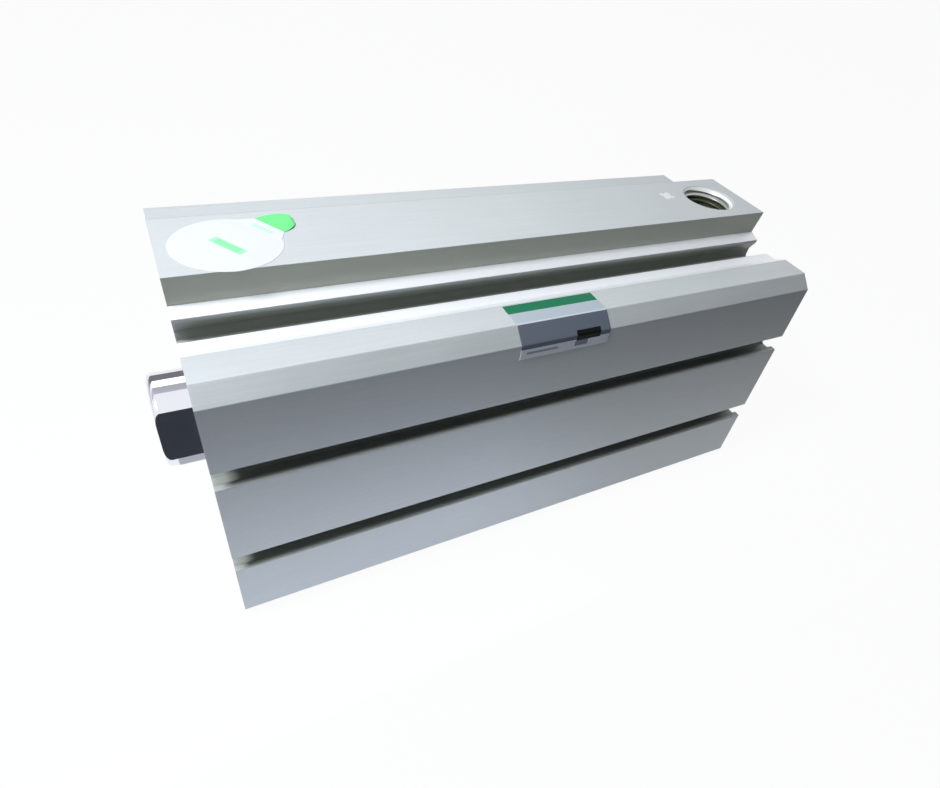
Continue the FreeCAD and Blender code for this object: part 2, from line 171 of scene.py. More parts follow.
def where(tree: Tree, *tests: Test) -> Socket:
    """Mark the places at which every test holds.

    Args:
        tree: node tree that gets the nodes.
        tests: the way of comparing, what is measured and the limits of each test.

    Returns:
        One where all tests hold, and zero elsewhere.
    """
    mask = 1.0
    for limit, *values in tests:
        holds = add_node(tree, "ShaderNodeMath", dict(enumerate(values)), operation=limit.value).outputs[0]
        mask = add_node(tree, "ShaderNodeMath", {0: mask, 1: holds}, operation="MULTIPLY").outputs[0]
    return mask


def seen_rays(tree: Tree) -> Socket:
    """Mark the rays that show the surroundings: seen directly, in reflections or through glass.

    Args:
        tree: node tree that gets the nodes.

    Returns:
        One for such a ray, and zero for a ray that only carries light.
    """
    path = add_node(tree, "ShaderNodeLightPath").outputs
    seen = path["Is Camera Ray"]
    for ray in ("Is Glossy Ray", "Is Transmission Ray"):
        seen = add_node(tree, "ShaderNodeMath", {0: seen, 1: path[ray]}, operation="MAXIMUM").outputs[0]
    return seen


class Mark(Enum):
    """Direction of the marks that the making leaves on a surface."""

    DRAWN = "streaks along the barrel"
    TURNED = "rings round the rod's axis"
    MOULDED = "even grain"


@dataclass(frozen=True)
class Finish:
    """A procedural finish: two tones, a range of roughness and the marks of its making.

    Attributes:
        name: the material's name.
        light: the lighter tone, as sRGB hex.
        dark: the darker tone, as sRGB hex.
        rough: lowest and highest roughness.
        mark_mm: width of one mark.
        bump_mm: height of the marks.
        metallic: share of bare metal.
        mark: direction of the marks.
        cloud_mm: size of the broad changes of tone.
        edge_mm: radius of the softened edges.
        coat: weight of a clear coat.
        gloss: level of the plain surface reflection.
    """

    name: str
    light: str
    dark: str
    rough: tuple[float, float]
    mark_mm: float
    bump_mm: float
    metallic: float = 0.0
    mark: Mark = Mark.MOULDED
    cloud_mm: float = 14.0
    edge_mm: float = 0.15
    coat: float = 0.0
    gloss: float = 0.5

    def lay_marks(self, tree: Tree) -> Socket:
        """Squeeze the marks across their direction and draw them out along it.

        Turned rings read the distance from the rod's axis and the place along it, so that they
        close on flat faces and on round ones.

        Args:
            tree: node tree of the material.

        Returns:
            Coordinates in which one mark is one unit wide.
        """
        place = add_node(tree, "ShaderNodeTexCoord").outputs["Object"]
        length = STREAK_LENGTH if self.mark is Mark.DRAWN else 1.0
        if self.mark is Mark.TURNED:
            along, across, up = axes_of(tree, Reading.PLACE)
            arm = add_node(tree, "ShaderNodeCombineXYZ", {1: across, 2: up}).outputs[0]
            radius = add_node(tree, "ShaderNodeVectorMath", {0: arm}, operation="LENGTH")
            rings = {0: along, 1: radius.outputs["Value"]}
            place = add_node(tree, "ShaderNodeCombineXYZ", rings).outputs[0]
        unit = 1.0 / (self.mark_mm * MM)
        return add_node(tree, "ShaderNodeMapping", {0: place, 3: (unit / length, unit, unit)}).outputs[0]

    def fields(self, tree: Tree) -> tuple[Socket, Socket]:
        """Make the two fields that drive the finish.

        Args:
            tree: node tree of the material.

        Returns:
            The tone, from 0 dark to 1 light, and the height of the marks.
        """
        lines = {0: self.lay_marks(tree), "Scale": 1.0, "Detail": MARK_OCTAVES}
        marks = add_node(tree, "ShaderNodeTexNoise", lines).outputs[0]
        place = add_node(tree, "ShaderNodeTexCoord").outputs["Object"]
        broad = {0: place, "Scale": 1.0 / (self.cloud_mm * MM), "Detail": CLOUD_OCTAVES}
        cloud = add_node(tree, "ShaderNodeTexNoise", broad).outputs[0]
        even = 0.5
        both = {0: even, 2: marks, 3: cloud}
        return add_node(tree, "ShaderNodeMix", both, data_type="FLOAT").outputs[0], marks

    def colour(self, tree: Tree, tone: Socket) -> Socket:
        """Spread the two colours over the middle of the tone's range.

        Args:
            tree: node tree of the material.
            tone: the finish's tone.

        Returns:
            The base colour.
        """
        spread = add_node(tree, "ShaderNodeMapRange", {0: tone, 1: COLOUR_SPAN[0], 2: COLOUR_SPAN[1]})
        pair = {0: spread.outputs[0], 6: linear(self.dark), 7: linear(self.light)}
        return add_node(tree, "ShaderNodeMix", pair, data_type="RGBA").outputs[2]

    def tinted(self, tree: Tree, shown: Socket, layers: list[tuple[Socket, str]]) -> Socket:
        """Lay tints over a colour, each as far as its share goes.

        Args:
            tree: node tree of the material.
            shown: the colour below.
            layers: share and sRGB hex of each tint, from the lowest to the highest.

        Returns:
            The colour under all its tints.
        """
        for share, tint in layers:
            pair = {0: share, 6: shown, 7: linear(tint)}
            shown = add_node(tree, "ShaderNodeMix", pair, data_type="RGBA").outputs[2]
        return shown

    def roughness(self, tree: Tree, tone: Socket) -> Socket:
        """Spread the range of roughness over the middle of the tone's range.

        Args:
            tree: node tree of the material.
            tone: the finish's tone.

        Returns:
            The roughness.
        """
        span = {0: tone, 1: ROUGH_SPAN[0], 2: ROUGH_SPAN[1], 3: self.rough[0], 4: self.rough[1]}
        return add_node(tree, "ShaderNodeMapRange", span).outputs[0]

    def material(self) -> bpy.types.Material:
        """Build the material from the finish's fields.

        Returns:
            The new material.
        """
        made = bpy.data.materials.new(self.name)
        made.use_nodes = True
        tree = made.node_tree
        tree.nodes.clear()
        tone, height = self.fields(tree)
        edge = add_node(tree, "ShaderNodeBevel", {"Radius": self.edge_mm * MM}).outputs[0]
        relief = {"Height": height, "Distance": self.bump_mm * MM, "Normal": edge}
        shader = add_node(tree, "ShaderNodeBsdfPrincipled", {
            "Base Color": self.colour(tree, tone),
            "Metallic": self.metallic,
            "Roughness": self.roughness(tree, tone),
            "Normal": add_node(tree, "ShaderNodeBump", relief).outputs[0],
            "Coat Weight": self.coat,
            "Specular IOR Level": self.gloss,
        })
        add_node(tree, "ShaderNodeOutputMaterial", {0: self.surface(tree, shader.outputs[0])})
        # A card's own white only shows it, so no finish is sampled as a lamp.
        made.cycles.emission_sampling = "NONE"
        return made

    def surface(self, tree: Tree, shader: Socket) -> Socket:
        """Pass the finished shader on as it is."""
        return shader

    def closed(self, tree: Tree, reach_mm: float, open_share: tuple[float, float],
               **settings: object) -> Socket:
        """Measure how much of the view from the surface is closed by walls.

        Args:
            tree: node tree of the material.
            reach_mm: how near a wall has to be.
            open_share: open share of the view that counts as closed, and the one that counts as open.
            settings: more settings of the node that looks around.

        Returns:
            One where the view is closed, and zero where it is open.
        """
        reach = {"Distance": reach_mm * MM}
        view = add_node(tree, "ShaderNodeAmbientOcclusion", reach, samples=LOOKS, **settings).outputs["AO"]
        span = {0: view, 1: open_share[0], 2: open_share[1], 3: 1.0, 4: 0.0}
        return add_node(tree, "ShaderNodeMapRange", span).outputs[0]


@dataclass(frozen=True)
class TappedFinish(Finish):
    """Bright cut threads with painted shade deep in their hole.

    Attributes:
        deep_shade: painted shade deep in the hole, as sRGB hex.
        deep_shade_mm: how near walls stand to count as deep.
        deep_shade_open: open share of the view at which a ridge is fully shaded and at which it is bright.
        deep_shade_high_mm: heights at which an upright hole is fully shaded and at which it is bright, or
            None.
    """

    deep_shade: str = "#4A4F39"
    deep_shade_mm: float = 14.0
    deep_shade_open: tuple[float, float] = (0.27, 0.48)
    deep_shade_high_mm: tuple[float, float] | None = None

    def colour(self, tree: Tree, tone: Socket) -> Socket:
        """Paint shade on the ridges where little of the view is open, and low in an upright hole.

        Args:
            tree: node tree of the material.
            tone: the finish's tone.

        Returns:
            The base colour.
        """
        # Painted shade where walls close the view, and low in an upright hole.
        deep = self.closed(tree, self.deep_shade_mm, self.deep_shade_open)
        if self.deep_shade_high_mm:
            full, bright = self.deep_shade_high_mm
            span = {0: axes_of(tree, Reading.PLACE)[2], 1: full * MM, 2: bright * MM, 3: 1.0, 4: 0.0}
            low = add_node(tree, "ShaderNodeMapRange", span).outputs[0]
            deep = add_node(tree, "ShaderNodeMath", {0: deep, 1: low}, operation="MAXIMUM").outputs[0]
        return self.tinted(tree, super().colour(tree, tone), [(deep, self.deep_shade)])


@dataclass(frozen=True)
class PlatedFinish(Finish):
    """Polished plating round a rod whose end is turned and left satin.

    Attributes:
        turned_rough: roughness of the turned end.
        turned_tilt: lengthwise part of a face's direction below which it belongs to that end.
    """

    turned_rough: float = 0.34
    turned_tilt: float = -0.5

    def roughness(self, tree: Tree, tone: Socket) -> Socket:
        """Roughen the faces that look out of the rod's end.

        Args:
            tree: node tree of the material.
            tone: the finish's tone.

        Returns:
            The roughness.
        """
        turned = where(tree, (Limit.BELOW, axes_of(tree, Reading.FACING)[0], self.turned_tilt))
        pair = {0: turned, 2: super().roughness(tree, tone), 3: self.turned_rough}
        return add_node(tree, "ShaderNodeMix", pair, data_type="FLOAT").outputs[0]


@dataclass(frozen=True)
class AnodisedFinish(Finish):
    """Extruded aluminium, etched and clear anodised, with its ends milled flat.

    Attributes:
        mill_mm: spacing of the cutter's arcs on the end faces.
        mill_sweep_mm: distance from the rod's axis to the middle of those arcs.
        mill_depth: lowest and highest part of an arc, as shares of the marks' height.
        etch_mm: grain of the etched surface.
        etch_share: share of that grain in the marks of the sides.
        mark_share: share of all marks in the tone.
        recess_highlight: painted highlight on the recess beside the boss, as sRGB hex.
        recess_highlight_mm: middle and half width of that recess across the barrel.
        recess_highlight_high_mm: middle and half height of the same.
        groove_shade: painted shade deep in the grooves and the ports, as sRGB hex.
        groove_shade_mm: how near walls stand to count as a groove.
        groove_shade_open: open share of the view with full painted shade, and the one with none.
        groove_shade_top_mm: height below which the grooves lie.
        port_mm: radius of the ports, and the height below which they take painted shade.
        wall_shade: painted shade on the boss's walls, which lean over the recess, as sRGB hex.
        wall_shade_over_mm: height above which those walls stand.
        wall_shade_tilt: upward part of a face's direction below which it leans over.
    """

    mill_mm: float = 0.9
    mill_sweep_mm: float = 75.0
    mill_depth: tuple[float, float] = (0.3, 0.7)
    etch_mm: float = 0.35
    etch_share: float = 0.6
    mark_share: float = 0.35
    recess_highlight: str = "#FBFDFF"
    recess_highlight_mm: tuple[float, float] = (15.65, 6.65)
    recess_highlight_high_mm: tuple[float, float] = (31.2, 2.2)
    groove_shade: str = "#8B8F83"
    groove_shade_mm: float = 6.0
    groove_shade_open: tuple[float, float] = (0.55, 0.95)
    groove_shade_top_mm: float = 31.5
    port_mm: tuple[float, float] = (6.6, 38.6)
    wall_shade: str = "#B6B9AE"
    wall_shade_over_mm: float = 32.5
    wall_shade_tilt: float = -0.05

    def leaning(self, tree: Tree) -> Socket:
        """Mark the walls of the boss that lean over the recess, which take painted shade.

        Args:
            tree: node tree of the material.

        Returns:
            One on those walls and zero elsewhere.
        """
        down = (Limit.BELOW, axes_of(tree, Reading.FACING)[2], self.wall_shade_tilt)
        above = (Limit.ABOVE, axes_of(tree, Reading.PLACE)[2], self.wall_shade_over_mm * MM)
        return where(tree, down, above)

    def recess_highlight_mask(self, tree: Tree) -> Socket:
        """Mark the faces that look up in the recess beside the boss, which take a painted highlight.

        Args:
            tree: node tree of the material.

        Returns:
            One in the recess and zero elsewhere.
        """
        _, across, high = axes_of(tree, Reading.PLACE)
        aside = add_node(tree, "ShaderNodeMath", {0: across}, operation="ABSOLUTE").outputs[0]
        up = (Limit.ABOVE, axes_of(tree, Reading.FACING)[2], UP_FACING)
        spans = ((aside, self.recess_highlight_mm), (high, self.recess_highlight_high_mm))
        inside = [(Limit.AROUND, place, middle * MM, half * MM) for place, (middle, half) in spans]
        return where(tree, up, *inside)

    def groove_shade_share(self, tree: Tree, highlight_mask: Socket) -> Socket:
        """Measure the painted shade in the grooves and in the ports, where little of the view is open.

        Args:
            tree: node tree of the material.
            highlight_mask: one on the recess's painted highlight, where no shade is painted.

        Returns:
            The share of painted shade.
        """
        closed = self.closed(tree, self.groove_shade_mm, self.groove_shade_open, only_local=True)
        _, across, high = axes_of(tree, Reading.PLACE)
        aside = add_node(tree, "ShaderNodeMath", {0: across}, operation="ABSOLUTE").outputs[0]
        radius_mm, port_top_mm = self.port_mm
        port = where(tree, (Limit.BELOW, aside, radius_mm * MM), (Limit.BELOW, high, port_top_mm * MM))
        low = where(tree, (Limit.BELOW, high, self.groove_shade_top_mm * MM))
        groove_shade = add_node(tree, "ShaderNodeMath", {0: port, 1: low}, operation="MAXIMUM").outputs[0]
        free = {0: groove_shade, 1: highlight_mask}
        open_to_shade = add_node(tree, "ShaderNodeMath", free, operation="SUBTRACT", use_clamp=True).outputs[0]
        return add_node(tree, "ShaderNodeMath", {0: closed, 1: open_to_shade}, operation="MULTIPLY").outputs[0]

    def colour(self, tree: Tree, tone: Socket) -> Socket:
        """Paint a highlight on the recess, and shade on the walls over it and deep in the grooves and ports.

        Args:
            tree: node tree of the material.
            tone: the finish's tone.

        Returns:
            The base colour.
        """
        # Painted highlight on the recess, painted shade on the leaning walls, and painted shade deep in the
        # grooves and ports.
        recess_highlight = self.recess_highlight_mask(tree)
        layers = [
            (recess_highlight, self.recess_highlight), (self.leaning(tree), self.wall_shade), (self.groove_shade_share(tree, recess_highlight), self.groove_shade)]
        return self.tinted(tree, super().colour(tree, tone), layers)

    def fields(self, tree: Tree) -> tuple[Socket, Socket]:
        """Add etched grain to the drawn streaks, and cutter's arcs where a face looks along the barrel.

        An arc is a wave of the distance from a point beside the end face.

        Args:
            tree: node tree of the material.

        Returns:
            The tone and the height of the marks.
        """
        tone, streaks = super().fields(tree)
        place = add_node(tree, "ShaderNodeTexCoord").outputs["Object"]
        grain = {0: place, "Scale": 1.0 / (self.etch_mm * MM), "Detail": GRAIN_OCTAVES}
        etched = add_node(tree, "ShaderNodeTexNoise", grain).outputs[0]
        grained = {0: self.etch_share, 2: streaks, 3: etched}
        sides = add_node(tree, "ShaderNodeMix", grained, data_type="FLOAT").outputs[0]
        shift = {0: place, 1: (0.0, self.mill_sweep_mm * MM, 0.0)}
        moved = add_node(tree, "ShaderNodeVectorMath", shift, operation="ADD").outputs[0]
        flat = add_node(tree, "ShaderNodeVectorMath", {0: moved, 1: (0.0, 1.0, 1.0)}, operation="MULTIPLY")
        reach = add_node(tree, "ShaderNodeVectorMath", {0: flat.outputs[0]}, operation="LENGTH")
        turns = {0: reach.outputs["Value"], 1: 2.0 * math.pi / (self.mill_mm * MM)}
        phase = add_node(tree, "ShaderNodeMath", turns, operation="MULTIPLY").outputs[0]
        wave = add_node(tree, "ShaderNodeMath", {0: phase}, operation="SINE").outputs[0]
        depth = {0: wave, 1: -1.0, 2: 1.0, 3: self.mill_depth[0], 4: self.mill_depth[1]}
        arcs = add_node(tree, "ShaderNodeMapRange", depth).outputs[0]
        lengthwise = {0: axes_of(tree, Reading.FACING)[0]}
        end = add_node(tree, "ShaderNodeMath", lengthwise, operation="ABSOLUTE").outputs[0]
        milled = where(tree, (Limit.ABOVE, end, END_FACING))
        height = add_node(tree, "ShaderNodeMix", {0: milled, 2: sides, 3: arcs}, data_type="FLOAT").outputs[0]
        blend = {0: self.mark_share, 2: tone, 3: height}
        return add_node(tree, "ShaderNodeMix", blend, data_type="FLOAT").outputs[0], height


@dataclass(frozen=True)
class BackdropFinish(Finish):
    """A card that looks nearly white under any light and still takes the object's shadow.

    Attributes:
        white: share of plain white in what is seen of the card.
    """

    white: float = 0.95

    def surface(self, tree: Tree, shader: Socket) -> Socket:
        """Mix white into the card for the rays that show it, and leave its light on the object alone.

        Args:
            tree: node tree of the material.
            shader: the card as it is lit.

        Returns:
            The mixed shader.
        """
        glow = add_node(tree, "ShaderNodeEmission", {0: (1.0, 1.0, 1.0, 1.0), 1: 1.0}).outputs[0]
        share = add_node(tree, "ShaderNodeMath", {0: seen_rays(tree), 1: self.white}, operation="MULTIPLY")
        return add_node(tree, "ShaderNodeMixShader", {0: share.outputs[0], 1: shader, 2: glow}).outputs[0]


class Sheet(Enum):
    """Where a printed film's pattern is measured."""

    FLAT = "object coordinates, turned about the film's middle"
    WRAPPED = "the film's own unrolled map"


@dataclass(frozen=True)
class Patch:
    """One plain rectangle of ink, given by its middle and size.

    Attributes:
        colour: the ink, as sRGB hex.
        middle_mm: place of the middle across and along the film.
        size_mm: width and height.
    """

    colour: str
    middle_mm: tuple[float, float]
    size_mm: tuple[float, float]


@dataclass(frozen=True)
class PrintedFinish(Finish):
    """A film with plain rectangles of ink on it.

    Attributes:
        sheet: where the pattern is measured.
        origin: middle of the pattern, for a flat film.
        turn: angle of the pattern, in radians, for a flat film.
        spread_mm: size of the unrolled map, for a wrapped film.
        patches: the rectangles, each over the one before.
    """

    sheet: Sheet = Sheet.FLAT
    origin: tuple[float, float] = (0.0, 0.0)
    turn: float = 0.0
    spread_mm: tuple[float, float] = (1.0, 1.0)
    patches: tuple[Patch, ...] = ()

    def colour(self, tree: Tree, tone: Socket) -> Socket:
        """Lay each rectangle over the film: ink shows where both distances are within half its size.

        Args:
            tree: node tree of the material.
            tone: the finish's tone.

        Returns:
            The base colour.
        """
        coords = add_node(tree, "ShaderNodeTexCoord")
        if self.sheet is Sheet.FLAT:
            middle = (*self.origin, 0.0)
            turned = {0: coords.outputs["Object"], 1: middle, 2: (0.0, 0.0, self.turn), 3: (MM, MM, MM)}
            place = add_node(tree, "ShaderNodeMapping", turned, vector_type="TEXTURE")
        else:
            place = add_node(tree, "ShaderNodeMapping", {0: coords.outputs["UV"], 3: (*self.spread_mm, 1.0)})
        axes = add_node(tree, "ShaderNodeSeparateXYZ", {0: place.outputs[0]}).outputs
        layers = []
        for patch in self.patches:
            spans = zip(axes, patch.middle_mm, patch.size_mm)
            inside = [(Limit.AROUND, axis, middle, size / 2) for axis, middle, size in spans]
            layers.append((where(tree, *inside), patch.colour))
        return self.tinted(tree, super().colour(tree, tone), layers)


# Clear anodised aluminium extrusion: pale satin grey, faint die streaks along it, no sharp reflections.
SATIN_ANODISED = AnodisedFinish(
    "satin_anodised_aluminium", "#CCD1D2", "#C3C8C9", metallic=0.25, rough=(0.46, 0.56), mark=Mark.DRAWN,
    mark_mm=0.5, bump_mm=0.004, cloud_mm=22.0, edge_mm=0.35)
# Cut threads in aluminium: bright, slightly torn metal that scatters light, with painted shade further in.
TAPPED_ALUMINIUM = TappedFinish(
    "tapped_aluminium", "#E6E8E4", "#CDD0C8", metallic=0.35, rough=(0.3, 0.42), mark_mm=0.3, bump_mm=0.003,
    edge_mm=0.06)
# The same cut threads in the upright ports, a lighter copy for a painted highlight: bright for a turn below
# the mouth, then in painted shade.
TAPPED_PORT = dataclasses.replace(
    TAPPED_ALUMINIUM, name="tapped_port_aluminium", light="#F4F6F2", dark="#E4E7E0", deep_shade="#5A5F48",
    deep_shade_open=(0.06, 0.24), deep_shade_high_mm=(36.5, 37.2))
# Lathe-turned aluminium: rings of feed marks, drawn coarser than real so that they show.
TURNED_ALUMINIUM = Finish(
    "lathe_turned_aluminium", "#C6C8C8", "#AEB0B0", metallic=1.0, rough=(0.25, 0.38), mark=Mark.TURNED,
    mark_mm=0.3, bump_mm=0.004, edge_mm=0.12)
# Hard chrome over ground steel: near mirror, a little blue, with very faint hoops and a satin end.
HARD_CHROME = PlatedFinish(
    "ground_hard_chrome", "#ECEEF6", "#EAECF4", metallic=1.0, rough=(0.05, 0.07), mark=Mark.TURNED,
    mark_mm=0.35, bump_mm=0.0001, edge_mm=0.05)
# Cut threads in steel: grey satin metal.
TAPPED_STEEL = Finish(
    "tapped_steel", "#C4C6CA", "#AEB0B4", metallic=1.0, rough=(0.28, 0.38), mark_mm=0.3, bump_mm=0.002,
    edge_mm=0.06)
# Phosphated spring steel: dark, slightly crystalline and dull.
PHOSPHATED_STEEL = Finish(
    "phosphated_spring_steel", "#4A4A4B", "#333334", metallic=0.8, rough=(0.42, 0.6), mark_mm=0.4,
    bump_mm=0.006)
# Rolled steel-backed bush: warm grey metal.
ROLLED_BUSH = Finish(
    "rolled_bearing_bush", "#A79C8C", "#877C6D", metallic=0.9, rough=(0.32, 0.48), mark=Mark.TURNED,
    mark_mm=0.4, bump_mm=0.004)
# Moulded nitrile rubber: black with a fine dull bloom.
NITRILE_RUBBER = Finish(
    "moulded_nitrile_rubber", "#262627", "#19191A", rough=(0.5, 0.7), mark_mm=0.5, bump_mm=0.008)
# Cast urethane: amber, waxy and slightly glossy.
CAST_URETHANE = Finish(
    "cast_urethane", "#C4A35C", "#AE8C45", rough=(0.32, 0.45), mark_mm=0.8, bump_mm=0.006, coat=0.2)
# Plastic-bonded ferrite: charcoal with a grainy, dull face.
BONDED_FERRITE = Finish(
    "plastic_bonded_ferrite", "#3D3D40", "#2A2A2C", metallic=0.1, rough=(0.5, 0.65), mark_mm=0.4,
    bump_mm=0.008)
# Moulded acetal: ivory white, low gloss.
MOULDED_ACETAL = Finish(
    "moulded_acetal", "#ECE8DD", "#E0DBCE", rough=(0.35, 0.5), mark_mm=0.6, bump_mm=0.005)
# White marking paint: thin, matt and a little uneven.
MARKING_PAINT = Finish(
    "white_marking_paint", "#FBFCFC", "#F2F4F4", rough=(0.55, 0.7), mark_mm=0.5, bump_mm=0.02,
    edge_mm=THIN_EDGE_MM)
# Pale card on a table: matt, faintly mottled, a little cool.
PALE_CARD = BackdropFinish(
    "pale_studio_card", "#E9EDF6", "#E6EAF3", rough=(0.8, 0.9), mark_mm=6.0, bump_mm=0.0, cloud_mm=120.0)
# Grey card that the chrome mirrors as a plain band, and under the rod's tip as a painted shadow of the floor.
GREY_CARD = dataclasses.replace(
    PALE_CARD, name="grey_mirrored_card", light="#50555C", dark="#4A4F56", white=0.39)
# Dim card that the chrome mirrors as a dark edge.
DIM_CARD = dataclasses.replace(
    PALE_CARD, name="dim_mirrored_card", light="#2A2C30", dark="#26282C", white=0.17)
# Black flag felt: soaks up light in front of the object.
FLAG_FELT = Finish(
    "black_flag_felt", "#2E3136", "#282B30", rough=(0.9, 0.98), mark_mm=4.0, bump_mm=0.0, cloud_mm=90.0)


@functools.cache
def material_of(finish: Finish) -> bpy.types.Material:
    """Build a finish's material once and give it out again afterwards."""
    return finish.material()


def dress(piece: bpy.types.Object, finish: Finish) -> None:
    """Give a piece its finish as its only material.

    Args:
        piece: the piece to dress.
        finish: its finish.
    """
    if not piece.material_slots:
        piece.data.materials.append(None)
    for slot in piece.material_slots:
        slot.material = material_of(finish)
    LOG.info("%s: %s", piece.name, finish.name)


def dress_nodes(finishes: dict[str, Finish]) -> None:
    """Dress pieces of the frame.

    Args:
        finishes: the finish of each piece, by its name.
    """
    for node, finish in finishes.items():
        dress(frame["nodes"][node], finish)


def quads(rows: int, columns: int, wrap: bool = False) -> np.ndarray:
    """Number the four-sided faces between neighbouring points of a grid that is stored row by row.

    Args:
        rows: number of rows.
        columns: points in each row.
        wrap: whether the last column joins the first.

    Returns:
        One row of four point numbers for each face.
    """
    row, column = np.meshgrid(np.arange(rows - 1), np.arange(columns - (not wrap)), indexing="ij")
    ahead = (column + 1) % columns
    here = row * columns
    beyond = here + columns
    return np.stack([here + column, here + ahead, beyond + ahead, beyond + column], axis=-1).reshape(-1, 4)


def crowded(count: int) -> np.ndarray:
    """Places from -1 to 1 that crowd towards both ends, as the sines of even angles."""
    return np.sin(np.linspace(-math.pi / 2, math.pi / 2, count))


def pressed_disc(count: int) -> tuple[np.ndarray, np.ndarray]:
    """Press a square grid into a disc of radius one.

    With u and v from -1 to 1, the first place is u times the root of 1 - v v / 2, and the second is
    v times the root of 1 - u u / 2.

    Args:
        count: points along a side of the grid.

    Returns:
        The first and the second place of every point.
    """
    u, v = np.meshgrid(crowded(count), crowded(count), indexing="ij")
    return u * np.sqrt(1 - v * v / 2), v * np.sqrt(1 - u * u / 2)


def new_piece(name: str, points: np.ndarray, faces: np.ndarray, body: str | None = None) -> bpy.types.Object:
    """Put points and faces into a smooth mesh object that rides on a body.

    Args:
        name: the piece's name.
        points: places of the points, the last axis holding x, y and z.
        faces: point numbers of each face.
        body: the body that carries the piece, or None for the stage.

    Returns:
        The new object.
    """
    mesh = bpy.data.meshes.new(name)
    mesh.from_pydata(points.reshape(-1, 3).tolist(), [], faces.tolist())
    mesh.polygons.foreach_set("use_smooth", np.ones(len(mesh.polygons), dtype=bool))
    piece = bpy.data.objects.new(name, mesh)
    bpy.context.scene.collection.objects.link(piece)
    if body is None:
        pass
    else:
        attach(piece, body)
        LOG.info("%s rides on %s", name, body)
    return piece


def thicken(piece: bpy.types.Object, thickness_mm: float) -> None:
    """Give a film its thickness below the surface that was drawn.

    Args:
        piece: the film.
        thickness_mm: its thickness.
    """
    wall = piece.modifiers.new("film", "SOLIDIFY")
    wall.thickness = thickness_mm * MM
    wall.offset = -1.0


def mount(name: str) -> dict:
    """Find a mount of the record by its name."""
    return next(item for item in frame["record"]["mounts"] if item["name"] == name)


@dataclass
class ScrewThread:
    """The ridge of an inside thread, wound on the wall of a round hole.

    Attributes:
        pitch_mm: rise of one turn.
        wall_mm: radius of the hole's wall.
        length_mm: threaded length.
        lead_in_mm: plain stretch before the first turn.
        taper: loss of radius with depth.
        mouth_mm: radius of the countersink at the mouth, or 0 for none.
        corners: points across the ridge, an even number.
        steps: points in one turn.
        start: where the thread starts, in turns about the hole.
        base_share: half the width of the ridge's base, in pitches.
        crest_share: half the width of its flat crest, in pitches.
        high_share: its height, in pitches.
        fade: length over which an end sinks into the wall, in turns.
        sink_mm: how far the base lies under the wall.
    """

    pitch_mm: float
    wall_mm: float
    length_mm: float
    lead_in_mm: float = 0.2
    taper: float = 0.0
    mouth_mm: float = 0.0
    corners: int = 4
    steps: int = 56
    start: float = 0.0
    base_share: float = 0.47
    crest_share: float = 0.125
    high_share: float = 0.56
    fade: float = 1.0 / 3.0
    sink_mm: float = 0.04

    def ridge(self, mouth: Vector, inward: Vector) -> tuple[np.ndarray, np.ndarray]:
        """Carry a blunt triangle along a helix.

        With t from 0 to 1 along n turns, the angle is 2 pi n t past the start, and the depth of the
        triangle's middle is the lead-in plus the pitch times n t and a half. The triangle's base lies just
        under the wall, and its crest stands inside it. With r from 0 to 1 over the fade, both ends narrow
        and sink into the wall as three r squared less two r cubed. At the mouth nothing stands inside
        the countersink, a cone of 45 degrees.

        Args:
            mouth: middle of the hole's mouth.
            inward: direction into the hole.

        Returns:
            The points and the faces.
        """
        turns = (self.length_mm - self.lead_in_mm - self.pitch_mm) / self.pitch_mm
        count = int(turns * self.steps) + 1
        t = np.linspace(0.0, 1.0, count)[:, None]
        half_base, half_crest, crest = (
            share * self.pitch_mm for share in (self.base_share, self.crest_share, self.high_share))
        flank = np.linspace(half_base, half_crest, self.corners // 2)
        along = np.concatenate([-flank, flank[::-1]])
        rise = (half_base - np.abs(along)) / (half_base - half_crest)
        run_out = np.clip(np.minimum(t, 1.0 - t) * turns / self.fade, 0.0, 1.0)
        height = run_out * run_out * (3.0 - 2.0 * run_out)
        least_width = 0.2
        middle = self.lead_in_mm + self.pitch_mm * (0.5 + turns * t)
        depth = middle + along * (least_width + (1.0 - least_width) * height)
        stands = crest + self.sink_mm + self.taper * depth
        radius = self.wall_mm + self.sink_mm - stands * rise * height
        radius = np.maximum(radius, self.mouth_mm - self.sink_mm - depth)
        angle = 2.0 * math.pi * (self.start + turns * t)
        axis = np.array(inward.normalized())
        # No hole runs across the barrel, so this direction is never the hole's own.
        across = np.array([0.0, 1.0, 0.0])
        first = np.cross(axis, across)
        second = np.cross(axis, first)
        arm = np.cos(angle)[..., None] * first + np.sin(angle)[..., None] * second
        points = np.array(mouth) + MM * (depth[..., None] * axis + radius[..., None] * arm)
        faces = quads(count, len(along), wrap=True)
        last = (count - 1) * len(along)
        near = np.arange(self.corners // 2 - 1)
        far = self.corners - 1 - near
        cap = np.stack([far, far - 1, near + 1, near], axis=-1)
        return points, np.vstack([faces, cap, last + cap[:, ::-1]])[:, ::-1]


